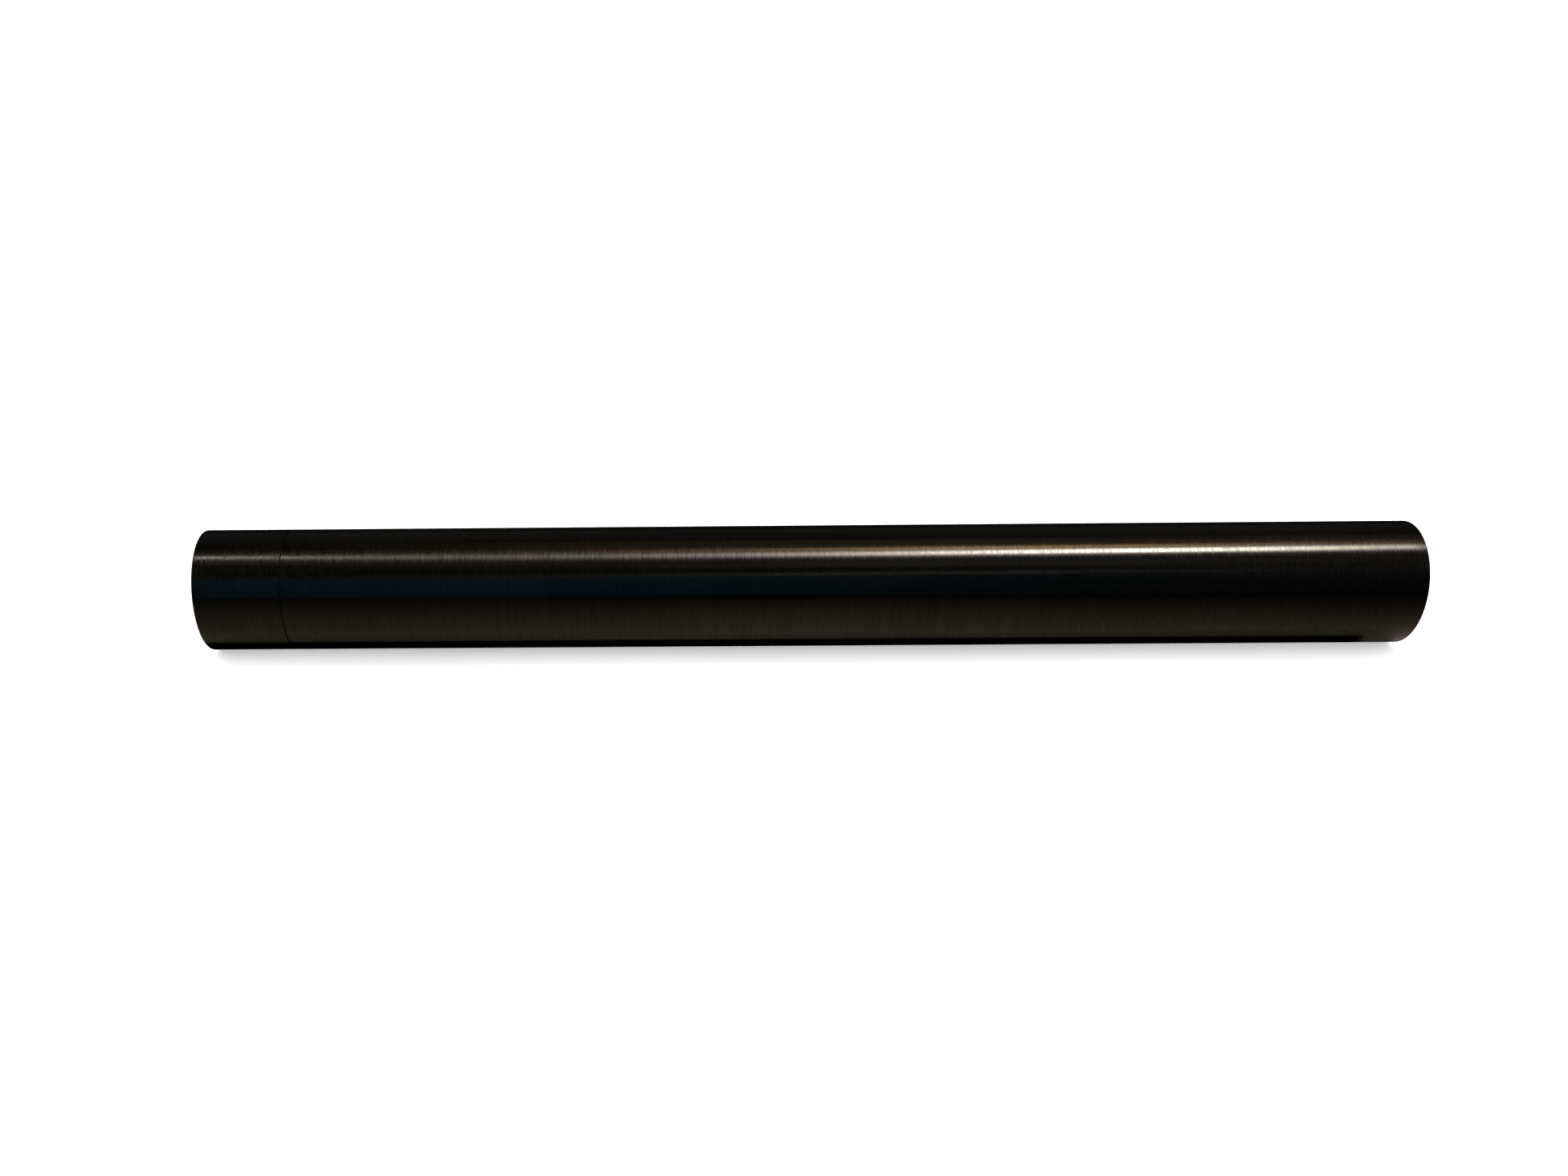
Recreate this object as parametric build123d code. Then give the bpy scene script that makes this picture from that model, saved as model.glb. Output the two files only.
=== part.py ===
"""Round aluminium rod case with a flush screw cap.

The case is a drawn tube closed at one end by a bonded disc. A threaded collar is bonded in its
mouth, and the cap is a short piece of the same tube with a thread ring and a disc bonded in it.

The pieces are drawn standing on the base, as they would be turned on a lathe: a station is a
height above the base's face, and a radius is measured from the case's axis. lay_down() then
turns the case onto its side: +X runs from the cap to the base, +Z is up, z = 0 is the surface
that the case lies on, and the origin is midway along it.
"""

import os

from build123d import *

# Driving dimensions, in millimetres
CASE_LENGTH = 505.0
CASE_RADIUS = 25.4
TUBE_WALL = 1.25
CAP_LENGTH = 36.5
SEAM_GAP = 0.15  # hairline between the closed cap and the tube

# Edges
END_ROUND = 0.6  # outer edge of the two ends
SEAM_CHAMFER = 0.25
INNER_CHAMFER = 0.3

# Bonded fits
BOND_GAP = 0.05

# End discs, which are shallow cups with their skirts bonded in the tube
DISC_RECESS = 0.3  # the face sits this far inside the tube's end
DISC_PLATE = 3.0
DISC_SKIRT = 1.7
BASE_DISC_DEPTH = 15.0
FACE_FIELD_RADIUS = 15.0  # plain recess turned in the middle of each face
FACE_FIELD_DEPTH = 0.4
FACE_GROOVE_RADIUS = 20.0
FACE_GROOVE_WIDTH = 0.8

# Collar
SPIGOT_LENGTH = 16.0  # bonded inside the tube
NECK_LENGTH = 20.0  # stands out of the tube
NECK_BORE_RADIUS = 20.8
SPIGOT_LIP = 0.7
LAND_RADIUS = 23.9  # plain part of the neck that the cap slides over
LAND_LENGTH = 5.6
LAND_RUNOUT = 0.8
O_RING_STATION = 2.9  # above the tube's mouth
O_RING_GROOVE_WIDTH = 2.6
O_RING_WIDTH = 2.1
O_RING_INNER_RADIUS = 22.66
O_RING_CLEARANCE = 0.03  # to the cap's bore

# Two-start thread
THREAD_STARTS = 2
THREAD_LEAD = 6.0  # travel in one turn
THREAD_MINOR_RADIUS = 22.05
THREAD_DEPTH = 0.85
THREAD_ROOT_WIDTH = 1.9
THREAD_CREST_WIDTH = 0.9
THREAD_BURY = 0.3  # depth of a ridge's foot inside the piece that it stands on
THREAD_FIRST = 7.5  # above the tube's mouth
THREAD_LENGTH = 10.0
THREAD_SIDE_PLAY = 0.15  # on each flank
THREAD_CREST_PLAY = 0.12

# Thread ring, bonded in the cap
RING_FIRST = 6.6  # above the tube's mouth
RING_LENGTH = 11.8
RING_CREST_RADIUS = 22.2
RING_THREAD_LENGTH = 8.0

# Soft parts
GASKET_INNER_RADIUS = 20.6
GASKET_OUTER_RADIUS = 23.8
GASKET_THICKNESS = 1.9
GASKET_PLAY = 0.05
PAD_PLAY = 0.3
BASE_PAD_THICKNESS = 13.7
CAP_PAD_INSET = 0.8  # the pad's face is this far inside the disc's skirt
LINER_THICKNESS = 0.8
LINER_END_PLAY = 0.2

BORE_RADIUS = CASE_RADIUS - TUBE_WALL
BONDED_RADIUS = BORE_RADIUS - BOND_GAP
MOUTH = CASE_LENGTH - CAP_LENGTH  # station of the tube's mouth
NECK_END = MOUTH + NECK_LENGTH
GASKET_SEAT = NECK_END + GASKET_PLAY
CAP_SKIRT_START = GASKET_SEAT + GASKET_THICKNESS + GASKET_PLAY


def lay_down(shape):
    """Turns a piece drawn standing on the base onto its side, with the cap towards -X."""
    on_its_side = Plane(origin=(CASE_LENGTH / 2, 0, CASE_RADIUS), x_dir=(0, 1, 0), z_dir=(-1, 0, 0))
    return on_its_side.location * shape


def turned(outline, rounds=None):
    """A solid of revolution. outline is a list of (radius, station), rounds is {point: radius}."""
    rounds = rounds or {}
    points = [(radius, 0, station) for radius, station in outline]
    radii = [rounds.get(i, 0) for i in range(len(points))]
    profile = make_face(FilletPolyline(*points, radius=radii, close=True))
    return revolve(profile, Axis.Z)


def make_tube_body():
    return turned(
        [
            (BORE_RADIUS, 0),
            (CASE_RADIUS, 0),
            (CASE_RADIUS, MOUTH - SEAM_CHAMFER),
            (CASE_RADIUS - SEAM_CHAMFER, MOUTH),
            (BORE_RADIUS + INNER_CHAMFER, MOUTH),
            (BORE_RADIUS, MOUTH - INNER_CHAMFER),
        ],
        rounds={1: END_ROUND},
    )


def make_cap_sleeve():
    start = MOUTH + SEAM_GAP
    return turned(
        [
            (BORE_RADIUS, start + INNER_CHAMFER),
            (BORE_RADIUS + INNER_CHAMFER, start),
            (CASE_RADIUS - SEAM_CHAMFER, start),
            (CASE_RADIUS, start + SEAM_CHAMFER),
            (CASE_RADIUS, CASE_LENGTH),
            (BORE_RADIUS, CASE_LENGTH),
        ],
        rounds={4: END_ROUND},
    )


def make_end_disc(depth):
    """A cup with its face down at station 0, a plain round field and one groove turned in it."""
    groove_in = FACE_GROOVE_RADIUS - FACE_GROOVE_WIDTH / 2
    groove_out = FACE_GROOVE_RADIUS + FACE_GROOVE_WIDTH / 2
    skirt_inner = BONDED_RADIUS - DISC_SKIRT
    return turned(
        [
            (0, FACE_FIELD_DEPTH),
            (FACE_FIELD_RADIUS, FACE_FIELD_DEPTH),
            (FACE_FIELD_RADIUS + FACE_FIELD_DEPTH, 0),
            (groove_in, 0),
            (FACE_GROOVE_RADIUS, FACE_FIELD_DEPTH),
            (groove_out, 0),
            (BONDED_RADIUS - INNER_CHAMFER, 0),
            (BONDED_RADIUS, INNER_CHAMFER),
            (BONDED_RADIUS, depth),
            (skirt_inner, depth),
            (skirt_inner, DISC_PLATE),
            (0, DISC_PLATE),
        ],
        rounds={10: 1.0},
    )


def make_base_disc():
    return Pos(0, 0, DISC_RECESS) * make_end_disc(BASE_DISC_DEPTH - DISC_RECESS)


def make_cap_disc():
    depth = CASE_LENGTH - DISC_RECESS - CAP_SKIRT_START
    return Pos(0, 0, CASE_LENGTH - DISC_RECESS) * Rot(180, 0, 0) * make_end_disc(depth)


def thread_ridges(start, length, foot, crest, half_foot, half_crest):
    """The ridges of one thread, from radius foot to radius crest, first met at station start."""
    path = Helix(pitch=THREAD_LEAD, height=length, radius=foot)
    section = make_face(
        Polyline(
            (foot, 0, -half_foot),
            (crest, 0, -half_crest),
            (crest, 0, half_crest),
            (foot, 0, half_foot),
            close=True,
        )
    )
    ridge = Pos(0, 0, start) * sweep(section, path=path, is_frenet=True)
    return [Rot(0, 0, 360 / THREAD_STARTS * i) * ridge for i in range(THREAD_STARTS)]


def collar_ridge_half(radius):
    """Half the width of the collar's ridge at a radius."""
    flank = (THREAD_ROOT_WIDTH - THREAD_CREST_WIDTH) / 2 / THREAD_DEPTH
    return THREAD_ROOT_WIDTH / 2 - flank * (radius - THREAD_MINOR_RADIUS)


def ring_ridge_half(radius):
    """Half the width of the ring's ridge, which fills the space between two of the collar's."""
    return THREAD_LEAD / THREAD_STARTS / 2 - collar_ridge_half(radius) - THREAD_SIDE_PLAY


def make_threaded_collar():
    spigot_start = MOUTH - SPIGOT_LENGTH
    groove_start = MOUTH + O_RING_STATION - O_RING_GROOVE_WIDTH / 2
    groove_end = groove_start + O_RING_GROOVE_WIDTH
    groove_floor = O_RING_INNER_RADIUS - 0.02
    land_end = MOUTH + LAND_LENGTH
    lip = 0.6
    collar = turned(
        [
            (BONDED_RADIUS - SPIGOT_LIP, spigot_start),
            (BONDED_RADIUS, spigot_start),
            (BONDED_RADIUS, MOUTH - INNER_CHAMFER),
            (LAND_RADIUS, MOUTH),
            (LAND_RADIUS, groove_start),
            (groove_floor, groove_start),
            (groove_floor, groove_end),
            (LAND_RADIUS, groove_end),
            (LAND_RADIUS, land_end),
            (THREAD_MINOR_RADIUS, land_end + LAND_RUNOUT),
            (THREAD_MINOR_RADIUS, NECK_END - lip),
            (THREAD_MINOR_RADIUS - lip, NECK_END),
            (NECK_BORE_RADIUS, NECK_END),
            (NECK_BORE_RADIUS, MOUTH - INNER_CHAMFER),
        ],
    )
    foot = THREAD_MINOR_RADIUS - THREAD_BURY
    crest = THREAD_MINOR_RADIUS + THREAD_DEPTH
    halves = collar_ridge_half(foot), collar_ridge_half(crest)
    for ridge in thread_ridges(MOUTH + THREAD_FIRST, THREAD_LENGTH, foot, crest, *halves):
        collar += ridge
    return collar


def make_cap_thread_ring():
    start = MOUTH + RING_FIRST
    end = start + RING_LENGTH
    bore = THREAD_MINOR_RADIUS + THREAD_DEPTH + THREAD_CREST_PLAY
    ring = turned(
        [
            (bore, start + INNER_CHAMFER),
            (bore + INNER_CHAMFER, start),
            (BONDED_RADIUS, start),
            (BONDED_RADIUS, end),
            (bore + INNER_CHAMFER, end),
            (bore, end - INNER_CHAMFER),
        ]
    )
    # half a pitch on from the collar's ridges, so that the two threads are in mesh
    first = MOUTH + THREAD_FIRST + THREAD_LEAD / THREAD_STARTS / 2
    foot = bore + THREAD_BURY
    halves = ring_ridge_half(foot), ring_ridge_half(RING_CREST_RADIUS)
    for ridge in thread_ridges(first, RING_THREAD_LENGTH, foot, RING_CREST_RADIUS, *halves):
        ring += ridge
    return ring


def make_collar_o_ring():
    """The ring as it is squeezed between its groove and the cap's bore."""
    outer = BORE_RADIUS - O_RING_CLEARANCE
    start = MOUTH + O_RING_STATION - O_RING_WIDTH / 2
    end = start + O_RING_WIDTH
    outline = [
        (O_RING_INNER_RADIUS, start),
        (outer, start),
        (outer, end),
        (O_RING_INNER_RADIUS, end),
    ]
    return turned(outline, rounds={i: 0.65 for i in range(4)})


def make_cap_gasket():
    start = GASKET_SEAT
    end = start + GASKET_THICKNESS
    outline = [
        (GASKET_INNER_RADIUS, start),
        (GASKET_OUTER_RADIUS, start),
        (GASKET_OUTER_RADIUS, end),
        (GASKET_INNER_RADIUS, end),
    ]
    return turned(outline, rounds={i: 0.3 for i in range(4)})


def make_pad(start, end):
    radius = BONDED_RADIUS - DISC_SKIRT - PAD_PLAY
    outline = [(0, start), (radius, start), (radius, end), (0, end)]
    return turned(outline, rounds={1: 0.8, 2: 0.8})


def make_base_pad():
    start = DISC_RECESS + DISC_PLATE
    return make_pad(start, start + BASE_PAD_THICKNESS)


def make_cap_pad():
    return make_pad(CAP_SKIRT_START + CAP_PAD_INSET, CASE_LENGTH - DISC_RECESS - DISC_PLATE)


def make_felt_liner():
    start = BASE_DISC_DEPTH + LINER_END_PLAY
    end = MOUTH - SPIGOT_LENGTH - LINER_END_PLAY
    inner = BONDED_RADIUS - LINER_THICKNESS
    outline = [(inner, start), (BONDED_RADIUS, start), (BONDED_RADIUS, end), (inner, end)]
    return turned(outline)


PIECES = {
    "tube_body": make_tube_body,
    "base_disc": make_base_disc,
    "base_pad": make_base_pad,
    "felt_liner": make_felt_liner,
    "threaded_collar": make_threaded_collar,
    "collar_o_ring": make_collar_o_ring,
    "cap_gasket": make_cap_gasket,
    "cap_sleeve": make_cap_sleeve,
    "cap_thread_ring": make_cap_thread_ring,
    "cap_disc": make_cap_disc,
    "cap_pad": make_cap_pad,
}

os.makedirs("parts", exist_ok=True)
for name, make in PIECES.items():
    export_step(lay_down(make()), f"parts/{name}.step")
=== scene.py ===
"""Looks of a round aluminium rod case: brushed dark anodised tube and cap, machined collar, seals,
felt lining and foam pads, lying on a pale floor in a studio."""

import math

import bmesh
import bpy
from mathutils import Matrix, Vector, noise


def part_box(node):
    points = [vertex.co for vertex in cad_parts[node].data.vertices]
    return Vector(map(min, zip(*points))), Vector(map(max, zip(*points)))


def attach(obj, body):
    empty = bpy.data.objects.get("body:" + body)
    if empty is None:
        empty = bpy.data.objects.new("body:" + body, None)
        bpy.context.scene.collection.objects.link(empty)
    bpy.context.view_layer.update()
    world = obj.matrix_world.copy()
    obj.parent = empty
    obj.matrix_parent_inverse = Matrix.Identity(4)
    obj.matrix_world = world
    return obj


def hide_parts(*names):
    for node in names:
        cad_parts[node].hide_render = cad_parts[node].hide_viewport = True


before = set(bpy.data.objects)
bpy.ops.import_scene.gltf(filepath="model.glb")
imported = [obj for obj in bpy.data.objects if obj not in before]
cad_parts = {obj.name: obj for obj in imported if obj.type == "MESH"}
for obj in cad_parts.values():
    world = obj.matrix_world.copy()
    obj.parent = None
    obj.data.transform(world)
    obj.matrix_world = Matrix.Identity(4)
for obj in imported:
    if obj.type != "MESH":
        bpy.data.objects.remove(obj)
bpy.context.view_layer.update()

MM = 0.001

# Sizes read from the frame
tube_low, tube_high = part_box("tube_body")
sleeve_low, sleeve_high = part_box("cap_sleeve")
collar_low, collar_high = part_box("threaded_collar")
liner_low, liner_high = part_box("felt_liner")
CASE_RADIUS = (tube_high.z - tube_low.z) / 2
AXIS_HEIGHT = (tube_high.z + tube_low.z) / 2
BASE_END = tube_high.x
CAP_END = sleeve_low.x
MOUTH = tube_low.x
CAP_MOUTH = sleeve_high.x
BONDED_RADIUS = (collar_high.z - collar_low.z) / 2
GLUE_GAP = 0.05 * MM  # between a bonded piece and the bore
BORE_RADIUS = BONDED_RADIUS + GLUE_GAP

# Edges of the tube and the cap
END_ROUND = 0.8 * MM
SEAM_ROUND = 0.06 * MM
SEAM_EASE = 0.2 * MM  # each lip of the seam stands this much back, in place of the CAD chamfers
BORE_ROUND = 0.25 * MM

AROUND = 256  # facets round the case
RING_SPACING = 6 * MM  # between the rings of facets along the shells

# Foam pads
PAD_CROWN = 1.1 * MM
PAD_BACK_ROUND = 1.2 * MM
PAD_FACE_ROUND = 1.8 * MM
PAD_DIMPLE = 0.12 * MM
PAD_DIMPLES_PER_METRE = 420
PAD_PLAIN_BACK = 2 * MM  # no dimples this near the back
PAD_CROWN_STEPS = 14  # from the edge to the middle of the crown
PAD_EDGE_STEPS = 3  # of them, left to the rounded edge
PAD_RING_SPACING = 1.0 * MM
PAD_AROUND = 160

# Felt lining
FELT_THICKNESS = 0.75 * MM
FELT_NAP = 0.08 * MM  # unevenness of its inner face
FELT_NAP_PER_METRE = 500
FELT_STATIONS = 150  # facets along the sheet
FELT_TURNS = 180  # facets round it
FELT_SEAM_GAP = 0.5 * MM
FELT_SEAM_TURN = math.radians(200)  # from +Y, about the case's axis


# ---------------------------------------------------------------- meshes


def rounded(corners, steps=6):
    """Turns (x, radius, rounding) corners of a closed outline into points, with arcs at the corners."""
    points = []
    for i, (x, radius, rounding) in enumerate(corners):
        here = Vector((x, radius))
        if rounding == 0:
            points.append((here, True))
            continue
        before = Vector(corners[i - 1][:2])
        after = Vector(corners[(i + 1) % len(corners)][:2])
        to_before, to_after = (before - here).normalized(), (after - here).normalized()
        half = to_before.angle(to_after) / 2
        centre = here + (to_before + to_after).normalized() * (rounding / math.sin(half))
        first = here + to_before * (rounding / math.tan(half)) - centre
        last = here + to_after * (rounding / math.tan(half)) - centre
        for k in range(steps + 1):
            points.append((centre + rounding * first.slerp(last, k / steps), False))
    return points


def lathe(name, corners, spacing=None, around=AROUND, steps=6, shape=None):
    """A turned mesh about the case's axis. spacing adds rings on the long runs, and shape moves points."""
    outline = rounded(corners, steps)
    rings = []
    for i, (point, sharp) in enumerate(outline):
        rings.append((point, sharp))
        following = outline[(i + 1) % len(outline)][0]
        run = (following - point).length
        extra = int(run / spacing) if spacing else 0
        for k in range(1, extra):
            rings.append((point.lerp(following, k / extra), False))
    mesh = bmesh.new()
    loops = []
    for point, sharp in rings:
        if point.y < 1e-7:
            loops.append([mesh.verts.new((point.x, 0, AXIS_HEIGHT))])
            continue
        loop = []
        for k in range(around):
            turn = 2 * math.pi * k / around
            place = Vector(
                (point.x, point.y * math.cos(turn), AXIS_HEIGHT + point.y * math.sin(turn))
            )
            loop.append(mesh.verts.new(shape(place) if shape else place))
        loops.append(loop)
    for i, loop in enumerate(loops):
        following = loops[(i + 1) % len(loops)]
        if len(loop) == 1 and len(following) == 1:
            continue
        for k in range(around):
            here, there = k, (k + 1) % around
            if len(loop) == 1:
                corners_here = (loop[0], following[here], following[there])
            elif len(following) == 1:
                corners_here = (loop[here], following[0], loop[there])
            else:
                corners_here = (loop[here], following[here], following[there], loop[there])
            mesh.faces.new(corners_here).smooth = True
        if rings[i][1] and len(loop) > 1:
            for k in range(around):
                edge = mesh.edges.get((loop[k], loop[(k + 1) % around]))
                edge.smooth = False
    return finish_mesh(name, mesh)


def finish_mesh(name, mesh):
    bmesh.ops.recalc_face_normals(mesh, faces=mesh.faces)
    data = bpy.data.meshes.new(name)
    mesh.to_mesh(data)
    mesh.free()
    piece = bpy.data.objects.new(name, data)
    bpy.context.scene.collection.objects.link(piece)
    return piece


# ---------------------------------------------------------------- material helpers


def new_material(name, **values):
    """A Principled material. values are its sockets' names, with _ for spaces."""
    material = bpy.data.materials.new(name)
    material.use_nodes = True
    tree = material.node_tree
    shader = tree.nodes["Principled BSDF"]
    for key, value in values.items():
        shader.inputs[key.replace("_", " ")].default_value = value
    return material, tree, shader


def add(tree, kind, inputs=None, **settings):
    node = tree.nodes.new(kind)
    for key, value in settings.items():
        setattr(node, key, value)
    for key, value in (inputs or {}).items():
        if isinstance(value, bpy.types.NodeSocket):
            tree.links.new(value, node.inputs[key])
        else:
            node.inputs[key].default_value = value
    return node


def case_coordinates(tree, scale):
    """The row frame's coordinates from a point on the case's axis, scaled along X, Y and Z."""
    place = add(tree, "ShaderNodeTexCoord").outputs["Object"]
    moved = add(
        tree,
        "ShaderNodeMapping",
        {"Vector": place, "Location": (0, 0, -AXIS_HEIGHT)},
        vector_type="POINT",
    )
    return add(
        tree, "ShaderNodeVectorMath", {0: moved.outputs[0], 1: scale}, operation="MULTIPLY"
    ).outputs[0]


def noise_of(tree, vector, detail=2.0, roughness=0.5):
    inputs = {"Vector": vector, "Scale": 1.0, "Detail": detail, "Roughness": roughness}
    return add(tree, "ShaderNodeTexNoise", inputs).outputs["Fac"]


def remap(tree, value, low, high, to_low, to_high):
    return add(
        tree,
        "ShaderNodeMapRange",
        {"Value": value, "From Min": low, "From Max": high, "To Min": to_low, "To Max": to_high},
    ).outputs["Result"]


def blend_colours(tree, share, first, second):
    node = add(tree, "ShaderNodeMix", {"Factor": share}, data_type="RGBA")
    for socket, colour in ((node.inputs[6], first), (node.inputs[7], second)):
        if isinstance(colour, bpy.types.NodeSocket):
            tree.links.new(colour, socket)
        else:
            socket.default_value = (*colour, 1)
    return node.outputs[2]


def maths(tree, operation, first, second=0.0):
    return add(tree, "ShaderNodeMath", {0: first, 1: second}, operation=operation).outputs[0]


def bump(tree, height, distance):
    inputs = {"Height": height, "Distance": distance, "Strength": 1.0}
    return add(tree, "ShaderNodeBump", inputs).outputs["Normal"]


# ---------------------------------------------------------------- materials


# The tube's noises, as repeats per metre along X, Y and Z: short ones along X make marks round the girth
STREAKS = (950, 26, 26)
HAIRS = (1750, 170, 170)
GRAIN = (700, 420, 420)
CLOUDS = (16, 30, 30)
TUBE_GRAIN_DEPTH = 0.0012 * MM
NICK_COLOUR = (0.30, 0.29, 0.27)
NICK_ROUGHNESS = 0.4  # added to the tube's own

DISC_RINGS_PER_METRE = 2600
COLLAR_MARKS = (3000, 20, 20)
TURNING_MARKS = 0.01 * MM  # depth, on the discs and the collar
PLAIN_ROUGHNESS_SPREAD = 0.06

# Tiny nicks through the anodising: X, degrees up from -Y round the case, radius
NICKS = (
    (-204.5 * MM, 73, 0.32 * MM),
    (-99.9 * MM, 74, 0.36 * MM),
    (-238.2 * MM, 7, 0.30 * MM),
    (-31.0 * MM, 12, 0.26 * MM),
)


def nicks(tree):
    """1 on the nicks, 0 elsewhere."""
    place = add(tree, "ShaderNodeTexCoord").outputs["Object"]
    total = 0.0
    for x, turn, reach in NICKS:
        spot = (
            x,
            -CASE_RADIUS * math.cos(math.radians(turn)),
            AXIS_HEIGHT + CASE_RADIUS * math.sin(math.radians(turn)),
        )
        away = add(tree, "ShaderNodeVectorMath", {0: place, 1: spot}, operation="DISTANCE").outputs["Value"]
        total = maths(tree, "ADD", remap(tree, away, reach, 0.4 * reach, 0, 1), total)
    return total


def make_anodised_tube():
    """Dark bronze-black anodising over a tube brushed around its girth."""
    material, tree, shader = new_material(
        "anodised_tube", Metallic=1.0, Anisotropic=0.92, Anisotropic_Rotation=0.25
    )
    streaks = noise_of(tree, case_coordinates(tree, STREAKS), 3.0, 0.65)
    hairs = noise_of(tree, case_coordinates(tree, HAIRS), 2.0, 0.6)
    grain = noise_of(tree, case_coordinates(tree, GRAIN), 2.0, 0.5)
    clouds = noise_of(tree, case_coordinates(tree, CLOUDS), 3.0, 0.5)
    even = blend_colours(
        tree, remap(tree, clouds, 0.3, 0.7, 0, 1), (0.074, 0.067, 0.057), (0.094, 0.087, 0.076)
    )
    shade = maths(
        tree, "ADD", remap(tree, streaks, 0.25, 0.75, 0.52, 0.83), remap(tree, grain, 0.3, 0.7, 0.22, 0.43)
    )
    colour = add(tree, "ShaderNodeVectorMath", {0: even, 1: shade}, operation="MULTIPLY").outputs[0]
    nicked = nicks(tree)
    colour = blend_colours(tree, nicked, colour, NICK_COLOUR)
    tree.links.new(colour, shader.inputs["Base Color"])
    rough = maths(
        tree, "ADD", remap(tree, streaks, 0.3, 0.7, 0.15, 0.13), remap(tree, hairs, 0.33, 0.67, 0.08, 0.16)
    )
    rough = maths(tree, "ADD", rough, maths(tree, "MULTIPLY", nicked, NICK_ROUGHNESS))
    tree.links.new(rough, shader.inputs["Roughness"])
    tree.links.new(bump(tree, grain, TUBE_GRAIN_DEPTH), shader.inputs["Normal"])
    tangent = add(tree, "ShaderNodeTangent", direction_type="RADIAL", axis="X")
    tree.links.new(tangent.outputs[0], shader.inputs["Tangent"])
    return material


def make_anodised_disc():
    """The same anodising over a face with fine turning marks."""
    material, tree, shader = new_material("anodised_disc", Metallic=1.0)
    place = case_coordinates(tree, (0, 1, 1))
    radius = add(tree, "ShaderNodeVectorMath", {0: place}, operation="LENGTH").outputs["Value"]
    rings = add(
        tree,
        "ShaderNodeTexNoise",
        {"W": radius, "Scale": DISC_RINGS_PER_METRE, "Detail": 2.0},
        noise_dimensions="1D",
    ).outputs["Fac"]
    colour = blend_colours(tree, rings, (0.060, 0.054, 0.046), (0.100, 0.092, 0.080))
    tree.links.new(colour, shader.inputs["Base Color"])
    tree.links.new(remap(tree, rings, 0.3, 0.7, 0.34, 0.46), shader.inputs["Roughness"])
    tree.links.new(bump(tree, rings, TURNING_MARKS), shader.inputs["Normal"])
    return material


def make_machined_collar():
    """Machined aluminium with fine turning marks."""
    material, tree, shader = new_material("machined_collar", Metallic=1.0)
    lines = noise_of(tree, case_coordinates(tree, COLLAR_MARKS), 2.0, 0.5)
    colour = blend_colours(tree, lines, (0.52, 0.52, 0.52), (0.66, 0.66, 0.65))
    tree.links.new(colour, shader.inputs["Base Color"])
    tree.links.new(remap(tree, lines, 0.3, 0.7, 0.22, 0.38), shader.inputs["Roughness"])
    tree.links.new(bump(tree, lines, TURNING_MARKS), shader.inputs["Normal"])
    return material


def make_plain(name, colour, roughness, grain_scale, depth):
    """A soft or moulded material with a fine even grain."""
    material, tree, shader = new_material(name)
    grain = noise_of(tree, case_coordinates(tree, (grain_scale,) * 3), 3.0, 0.6)
    shades = [tuple(c * k for c in colour) for k in (0.7, 1.3)]
    tree.links.new(blend_colours(tree, grain, *shades), shader.inputs["Base Color"])
    low, high = roughness - PLAIN_ROUGHNESS_SPREAD, roughness + PLAIN_ROUGHNESS_SPREAD
    tree.links.new(remap(tree, grain, 0.3, 0.7, low, high), shader.inputs["Roughness"])
    tree.links.new(bump(tree, grain, depth), shader.inputs["Normal"])
    return material


# ---------------------------------------------------------------- pieces


def make_tube_shell():
    corners = [
        (MOUTH + SEAM_EASE, BORE_RADIUS, BORE_ROUND),
        (MOUTH + SEAM_EASE, CASE_RADIUS, SEAM_ROUND),
        (BASE_END, CASE_RADIUS, END_ROUND),
        (BASE_END, BORE_RADIUS, BORE_ROUND),
    ]
    return lathe("tube_shell", corners, spacing=RING_SPACING)


def make_cap_shell():
    corners = [
        (CAP_END, BORE_RADIUS, BORE_ROUND),
        (CAP_END, CASE_RADIUS, END_ROUND),
        (CAP_MOUTH - SEAM_EASE, CASE_RADIUS, SEAM_ROUND),
        (CAP_MOUTH - SEAM_EASE, BORE_RADIUS, BORE_ROUND),
    ]
    return lathe("cap_shell", corners, spacing=RING_SPACING)


def make_pad(name, node, face_to_right):
    """A foam disc with soft edges and a crowned face."""
    low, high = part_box(node)
    radius = (high.z - low.z) / 2
    back, front = (low.x, high.x) if face_to_right else (high.x, low.x)
    way = 1 if face_to_right else -1
    corners = [(back, 0, 0), (back, radius, PAD_BACK_ROUND)]
    corners.append((front - way * PAD_CROWN, radius, PAD_FACE_ROUND))
    for k in range(PAD_EDGE_STEPS, PAD_CROWN_STEPS):
        share = 1 - k / PAD_CROWN_STEPS
        corners.append((front - way * PAD_CROWN * share**2, radius * share, 0))
    corners.append((front, 0, 0))

    def dimpled(place):
        """Moves a point in a little, unless it is near the back."""
        depth = PAD_DIMPLE * (noise.noise(place * PAD_DIMPLES_PER_METRE) + 1)
        return place - Vector((way * depth if abs(place.x - back) > PAD_PLAIN_BACK else 0, 0, 0))

    piece = lathe(name, corners, spacing=PAD_RING_SPACING, around=PAD_AROUND, shape=dimpled)
    for edge in piece.data.edges:
        edge.use_edge_sharp = False
    return piece


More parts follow.
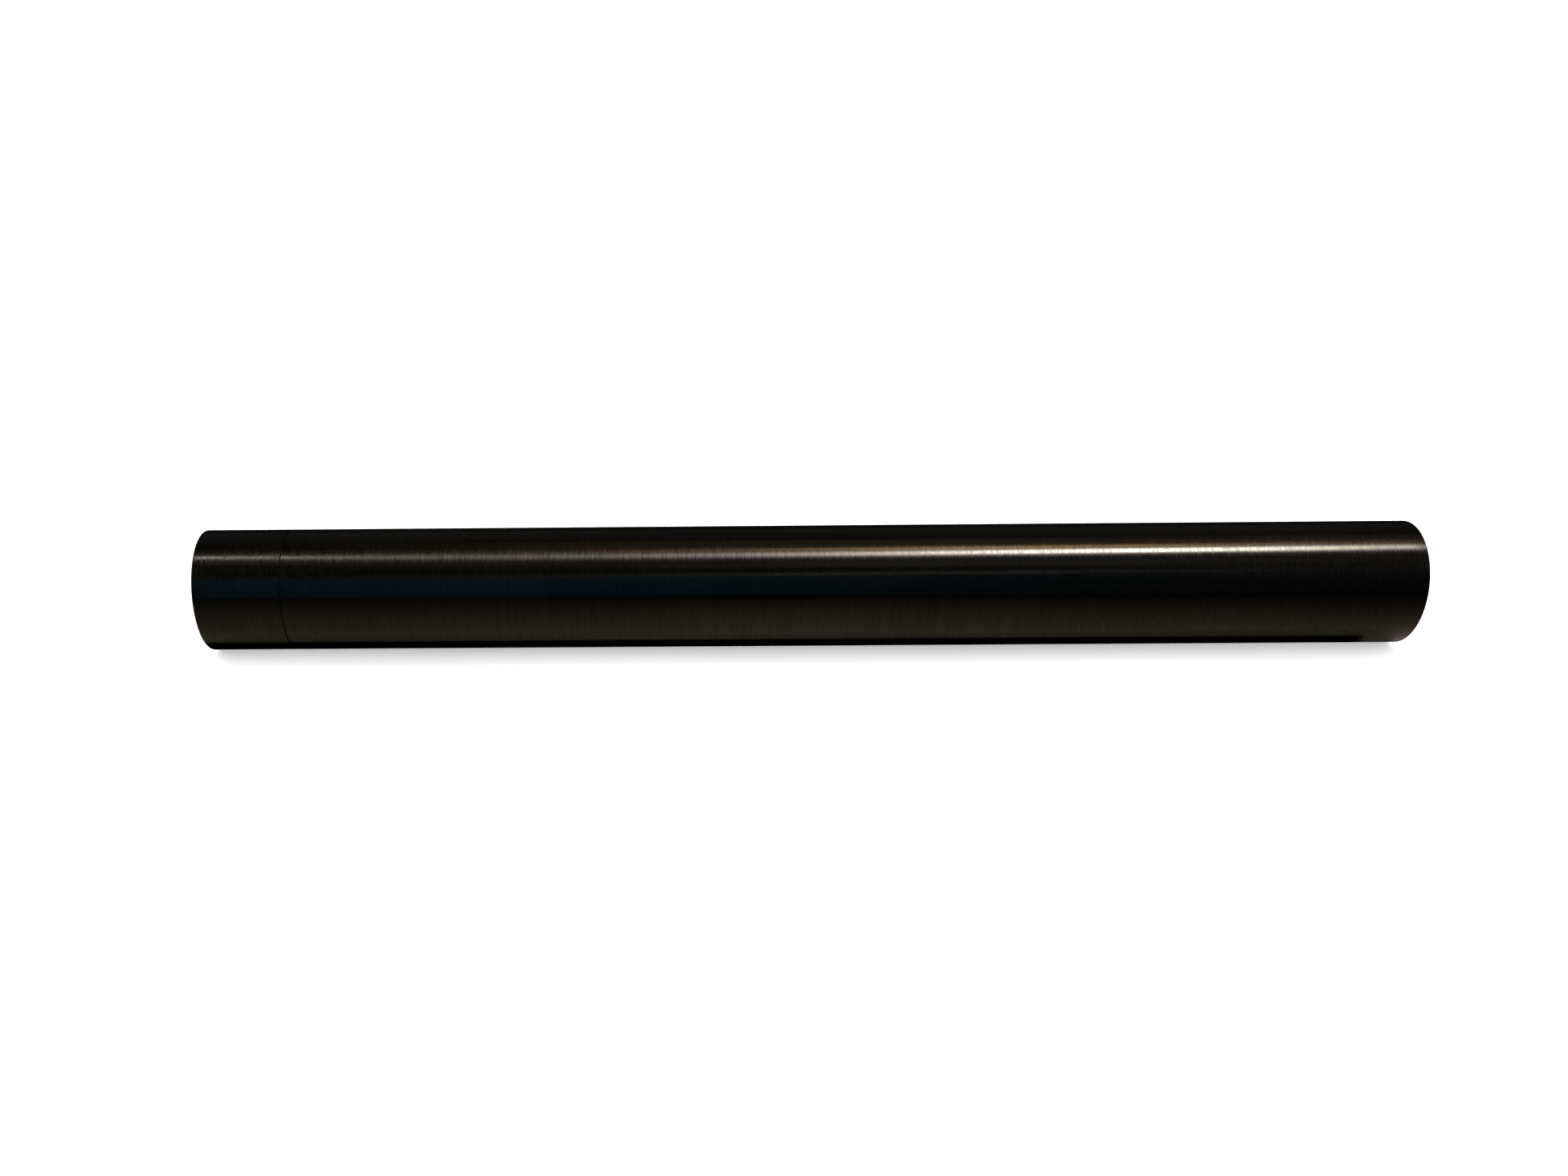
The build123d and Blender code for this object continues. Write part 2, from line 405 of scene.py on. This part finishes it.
def make_lining():
    """One sheet of felt, rolled into the bore, whose long edges meet in a butt seam."""
    outer = (liner_high.z - liner_low.z) / 2
    inner = outer - FELT_THICKNESS
    stations, turns = FELT_STATIONS, FELT_TURNS
    half_gap = FELT_SEAM_GAP / (2 * outer)
    mesh = bmesh.new()

    def grid(radius, rough):
        rows = []
        for i in range(stations + 1):
            x = liner_low.x + (liner_high.x - liner_low.x) * i / stations
            row = []
            for k in range(turns + 1):
                turn = FELT_SEAM_TURN + half_gap + (2 * math.pi - 2 * half_gap) * k / turns
                place = Vector((x, radius * math.cos(turn), radius * math.sin(turn)))
                reach = radius + rough * (noise.noise(place * FELT_NAP_PER_METRE) + 1) * FELT_NAP
                row.append(
                    mesh.verts.new((x, reach * math.cos(turn), AXIS_HEIGHT + reach * math.sin(turn)))
                )
            rows.append(row)
        return rows

    skin, lining = grid(outer, 0), grid(inner, 1)
    for i in range(stations):
        for k in range(turns):
            for rows in (skin, lining):
                mesh.faces.new((rows[i][k], rows[i + 1][k], rows[i + 1][k + 1], rows[i][k + 1]))
        for k in (0, turns):
            mesh.faces.new((skin[i][k], skin[i + 1][k], lining[i + 1][k], lining[i][k]))
    for k in range(turns):
        for i in (0, stations):
            mesh.faces.new((skin[i][k], skin[i][k + 1], lining[i][k + 1], lining[i][k]))
    for face in mesh.faces:
        face.smooth = True
    return finish_mesh("felt_lining", mesh)


# ---------------------------------------------------------------- stage


def area_light(name, place, size, radiance, colour, aim=(0, 0, 0)):
    """A rectangular lamp. radiance is how bright its face looks, whatever its size."""
    light = bpy.data.lights.new(name, "AREA")
    light.shape = "RECTANGLE"
    light.size, light.size_y = size
    light.energy = radiance * math.pi * size[0] * size[1]
    light.color = colour
    lamp = bpy.data.objects.new(name, light)
    lamp.location = place
    lamp.rotation_euler = (Vector(aim) - Vector(place)).to_track_quat("-Z", "Y").to_euler()
    bpy.context.scene.collection.objects.link(lamp)


FLOOR_RADIUS = 30  # m
FLOOR_COLOUR = (0.88, 0.88, 0.88)
FLOOR_DIRECT_GLOW = 0.45  # only the camera sees it

# Painted reflection: the floor as the case mirrors it, a dim warm table with a painted shadow strip under
# the case and painted light around it
PAINTED_TABLE_REFLECTION = (0.53, 0.47, 0.385)
PAINTED_SHADOW_HALF = 18.0 * MM  # half width of the painted shadow strip under the case, seen only in reflections
PAINTED_SHADOW_SIDE_EDGE = 1.5 * MM  # the painted shadow strip's soft edges
# the painted shadow strip ends this far short of the base end
PAINTED_SHADOW_END = BASE_END - 16 * MM
PAINTED_SHADOW_END_EDGE = 3 * MM
PAINTED_FAR_GLOW = 0.06  # painted reflected light far from the case, at its left
PAINTED_POOL_HALF = 280 * MM  # the painted pool of light in the mirrored floor dims towards both ends of the case
PAINTED_POOL_END = 0.66  # how bright it still is there
PAINTED_NEAR_LIGHT = 5.35 * MM  # painted light that grows near the case: adds this length divided by the distance
PAINTED_CLOSE_LIGHT = 13 * MM  # more painted light right by the case: adds the square of this length divided by the distance


def make_floor():
    """A plain pale floor. In the case it shows a painted reflection of a dim warm table, with a painted
    shadow strip right under the case and painted light growing towards it.
    """
    mesh = bmesh.new()
    bmesh.ops.create_circle(mesh, cap_ends=True, radius=FLOOR_RADIUS, segments=96)
    floor = finish_mesh("floor", mesh)
    material, tree, shader = new_material("floor", Roughness=1.0, Specular_IOR_Level=0.0)
    place = add(
        tree, "ShaderNodeSeparateXYZ", {0: add(tree, "ShaderNodeTexCoord").outputs["Object"]}
    ).outputs
    across = maths(tree, "ABSOLUTE", place["Y"])
    # Painted shadow: the mirrored floor is black in a strip under the case
    beside_painted_shadow = remap(tree, across, PAINTED_SHADOW_HALF, PAINTED_SHADOW_HALF + PAINTED_SHADOW_SIDE_EDGE, 0, 1)
    beyond_painted_shadow = remap(tree, place["X"], PAINTED_SHADOW_END, PAINTED_SHADOW_END + PAINTED_SHADOW_END_EDGE, 0, 1)
    outside_painted_shadow = maths(tree, "MAXIMUM", beside_painted_shadow, beyond_painted_shadow)
    clear = maths(tree, "MAXIMUM", across, PAINTED_SHADOW_HALF)
    # Painted light: the mirrored floor is brighter near the case and towards its middle, fainter at its
    # right
    painted_far_glow = remap(tree, place["X"], -PAINTED_POOL_HALF, PAINTED_POOL_HALF, PAINTED_FAR_GLOW, 0)
    painted_light = maths(tree, "ADD", maths(tree, "DIVIDE", PAINTED_NEAR_LIGHT, clear), painted_far_glow)
    painted_close_light = maths(tree, "POWER", maths(tree, "DIVIDE", PAINTED_CLOSE_LIGHT, clear), 2.0)
    painted_pool = remap(tree, maths(tree, "ABSOLUTE", place["X"]), 0, PAINTED_POOL_HALF, 1.0, PAINTED_POOL_END)
    painted_light = maths(tree, "MULTIPLY", maths(tree, "ADD", painted_light, painted_close_light), painted_pool)
    # Painted reflection: glossy rays see the warm table with its painted shadow and light, while the camera
    # sees the pale floor
    painted_reflection = blend_colours(tree, maths(tree, "MULTIPLY", outside_painted_shadow, painted_light), (0.0, 0.0, 0.0), PAINTED_TABLE_REFLECTION)
    mirrored = add(tree, "ShaderNodeLightPath").outputs["Is Glossy Ray"]
    colour = blend_colours(tree, mirrored, FLOOR_COLOUR, painted_reflection)
    tree.links.new(colour, shader.inputs["Base Color"])
    seen_direct = add(tree, "ShaderNodeLightPath").outputs["Is Camera Ray"]
    glow = maths(tree, "MULTIPLY", seen_direct, FLOOR_DIRECT_GLOW)
    tree.links.new(glow, shader.inputs["Emission Strength"])
    shader.inputs["Emission Color"].default_value = (1, 1, 1, 1)
    floor.data.materials.append(material)


WORLD_COLOUR = (1.25, 1.25, 1.25)
MIRRORED_ROOM = (0.012, 0.012, 0.011)


def make_world():
    """Even pale light on what is matt, and a dim room in what is glossy."""
    world = bpy.data.worlds.new("studio")
    bpy.context.scene.world = world
    world.use_nodes = True
    tree = world.node_tree
    background = tree.nodes["Background"]
    mirrored = add(tree, "ShaderNodeLightPath").outputs["Is Glossy Ray"]
    colour = blend_colours(tree, mirrored, WORLD_COLOUR, MIRRORED_ROOM)
    tree.links.new(colour, background.inputs["Color"])
    background.inputs["Strength"].default_value = 1.0


LAMP_HEIGHT = 1.5
WHITE = (1.0, 0.97, 0.94)
AMBER = (1.0, 0.66, 0.34)
STRAW = (1.0, 0.84, 0.5)
BLUE = (0.05, 0.55, 1.0)


def hang(name, x, y, size, radiance, colour):
    """A lamp at LAMP_HEIGHT, aimed at (x, 0, 0)."""
    area_light(name, (x, y, LAMP_HEIGHT), size, radiance, colour, (x, 0, 0))


def make_lights():
    """Small lamps make the bright line, and large dim cards the bands of colour beside it."""
    hang("main_lamp", 0.57, -0.1, (0.12, 0.195), 121, WHITE)
    hang("left_lamp", -0.84, -0.09, (0.12, 0.14), 18, WHITE)
    hang("front_lamp", 0.29, -1.51, (0.15, 0.12), 2.1, WHITE)
    hang("warm_lamp", 0.41, 0.14, (0.3, 0.14), 8, AMBER)
    hang("warm_card", 0.46, 0.53, (1.5, 0.5), 0.13, STRAW)
    area_light("front_card", (0.35, -0.8, 1.6), (0.8, 0.4), 0.13, WHITE, (0.35, 0, 0))
    area_light("back_card", (-0.4, 1.5, 1.2), (3.6, 1.2), 0.035, WHITE, (-0.4, 0, 0))
    area_light("cool_card", (-0.38, -1.5, 0.69), (1.1, 1.04), 0.12, BLUE, (0.02, 0, 0))
    for name, x in (("base_card", 1.9), ("cap_card", -1.9)):
        area_light(name, (x, 0, 0.6), (1.2, 1.0), 0.7, WHITE)


# Camera, placed from the case's axis
CAMERA_X = -50.8 * MM
CAMERA_DISTANCE = 23.49 * CASE_RADIUS
CAMERA_ELEVATION = 22.0  # degrees
CAMERA_TURN = (1.005, 8.119, -0.415)  # yaw, pitch and roll away from aiming at the axis, in degrees
CAMERA_LENS = 31.78  # mm
SENSOR_WIDTH = 36  # mm
CAMERA_SHIFT = (0.0802, 0.1253)  # the view is off the axis of the lens, to the right and up


def make_camera():
    elevation = math.radians(CAMERA_ELEVATION)
    yaw, pitch, roll = (math.radians(angle) for angle in CAMERA_TURN)
    data = bpy.data.cameras.new("camera")
    data.lens, data.sensor_width = CAMERA_LENS, SENSOR_WIDTH
    data.shift_x, data.shift_y = CAMERA_SHIFT
    data.clip_start, data.clip_end = 0.01, 100
    camera = bpy.data.objects.new("camera", data)
    back = Vector((0, -math.cos(elevation), math.sin(elevation)))
    right = Vector((1, 0, 0))
    up = back.cross(right)
    aimed = Matrix((right, up, back)).transposed()
    turned = Matrix.Rotation(yaw, 3, "Y") @ Matrix.Rotation(-pitch, 3, "X") @ Matrix.Rotation(roll, 3, "Z")
    camera.matrix_world = Matrix.Translation(
        Vector((CAMERA_X, 0, AXIS_HEIGHT)) + back * CAMERA_DISTANCE
    ) @ (aimed @ turned).to_4x4()
    bpy.context.scene.collection.objects.link(camera)
    bpy.context.scene.camera = camera


# ---------------------------------------------------------------- the whole


def dress(name, material):
    """Gives a CAD node its material."""
    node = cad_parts[name]
    node.data.materials.clear()
    node.data.materials.append(material)


def put_on(body, piece, material, slot, *nodes):
    """Rides a piece on a body in place of CAD nodes."""
    piece.data.materials.append(material)
    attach(piece, body)
    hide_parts(*nodes)


make_camera()
make_world()
make_floor()
make_lights()
bpy.context.scene.view_settings.view_transform = "Standard"

anodised_tube = make_anodised_tube()
anodised_disc = make_anodised_disc()
machined_collar = make_machined_collar()
thread_plastic = make_plain("thread_plastic", (0.02, 0.02, 0.02), 0.4, 900, 0.005 * MM)
seal_rubber = make_plain("seal_rubber", (0.014, 0.014, 0.014), 0.6, 1500, 0.008 * MM)
pad_foam = make_plain("pad_foam", (0.03, 0.03, 0.032), 0.9, 1800, 0.15 * MM)
liner_felt = make_plain("liner_felt", (0.05, 0.05, 0.055), 0.95, 1200, 0.2 * MM)

put_on("case", make_tube_shell(), anodised_tube, "anodised_tube", "tube_body")
put_on("cap", make_cap_shell(), anodised_tube, "anodised_tube", "cap_sleeve")
for name, material in {
    "base_disc": anodised_disc,
    "cap_disc": anodised_disc,
    "threaded_collar": machined_collar,
    "cap_thread_ring": thread_plastic,
    "collar_o_ring": seal_rubber,
    "cap_gasket": seal_rubber,
}.items():
    dress(name, material)

base_cushion = make_pad("base_cushion", "base_pad", False)
cap_cushion = make_pad("cap_cushion", "cap_pad", True)
felt_lining = make_lining()
put_on("case", base_cushion, pad_foam, "pad_foam", "base_pad")
put_on("cap", cap_cushion, pad_foam, "pad_foam", "cap_pad")
put_on("case", felt_lining, liner_felt, "liner_felt", "felt_liner")
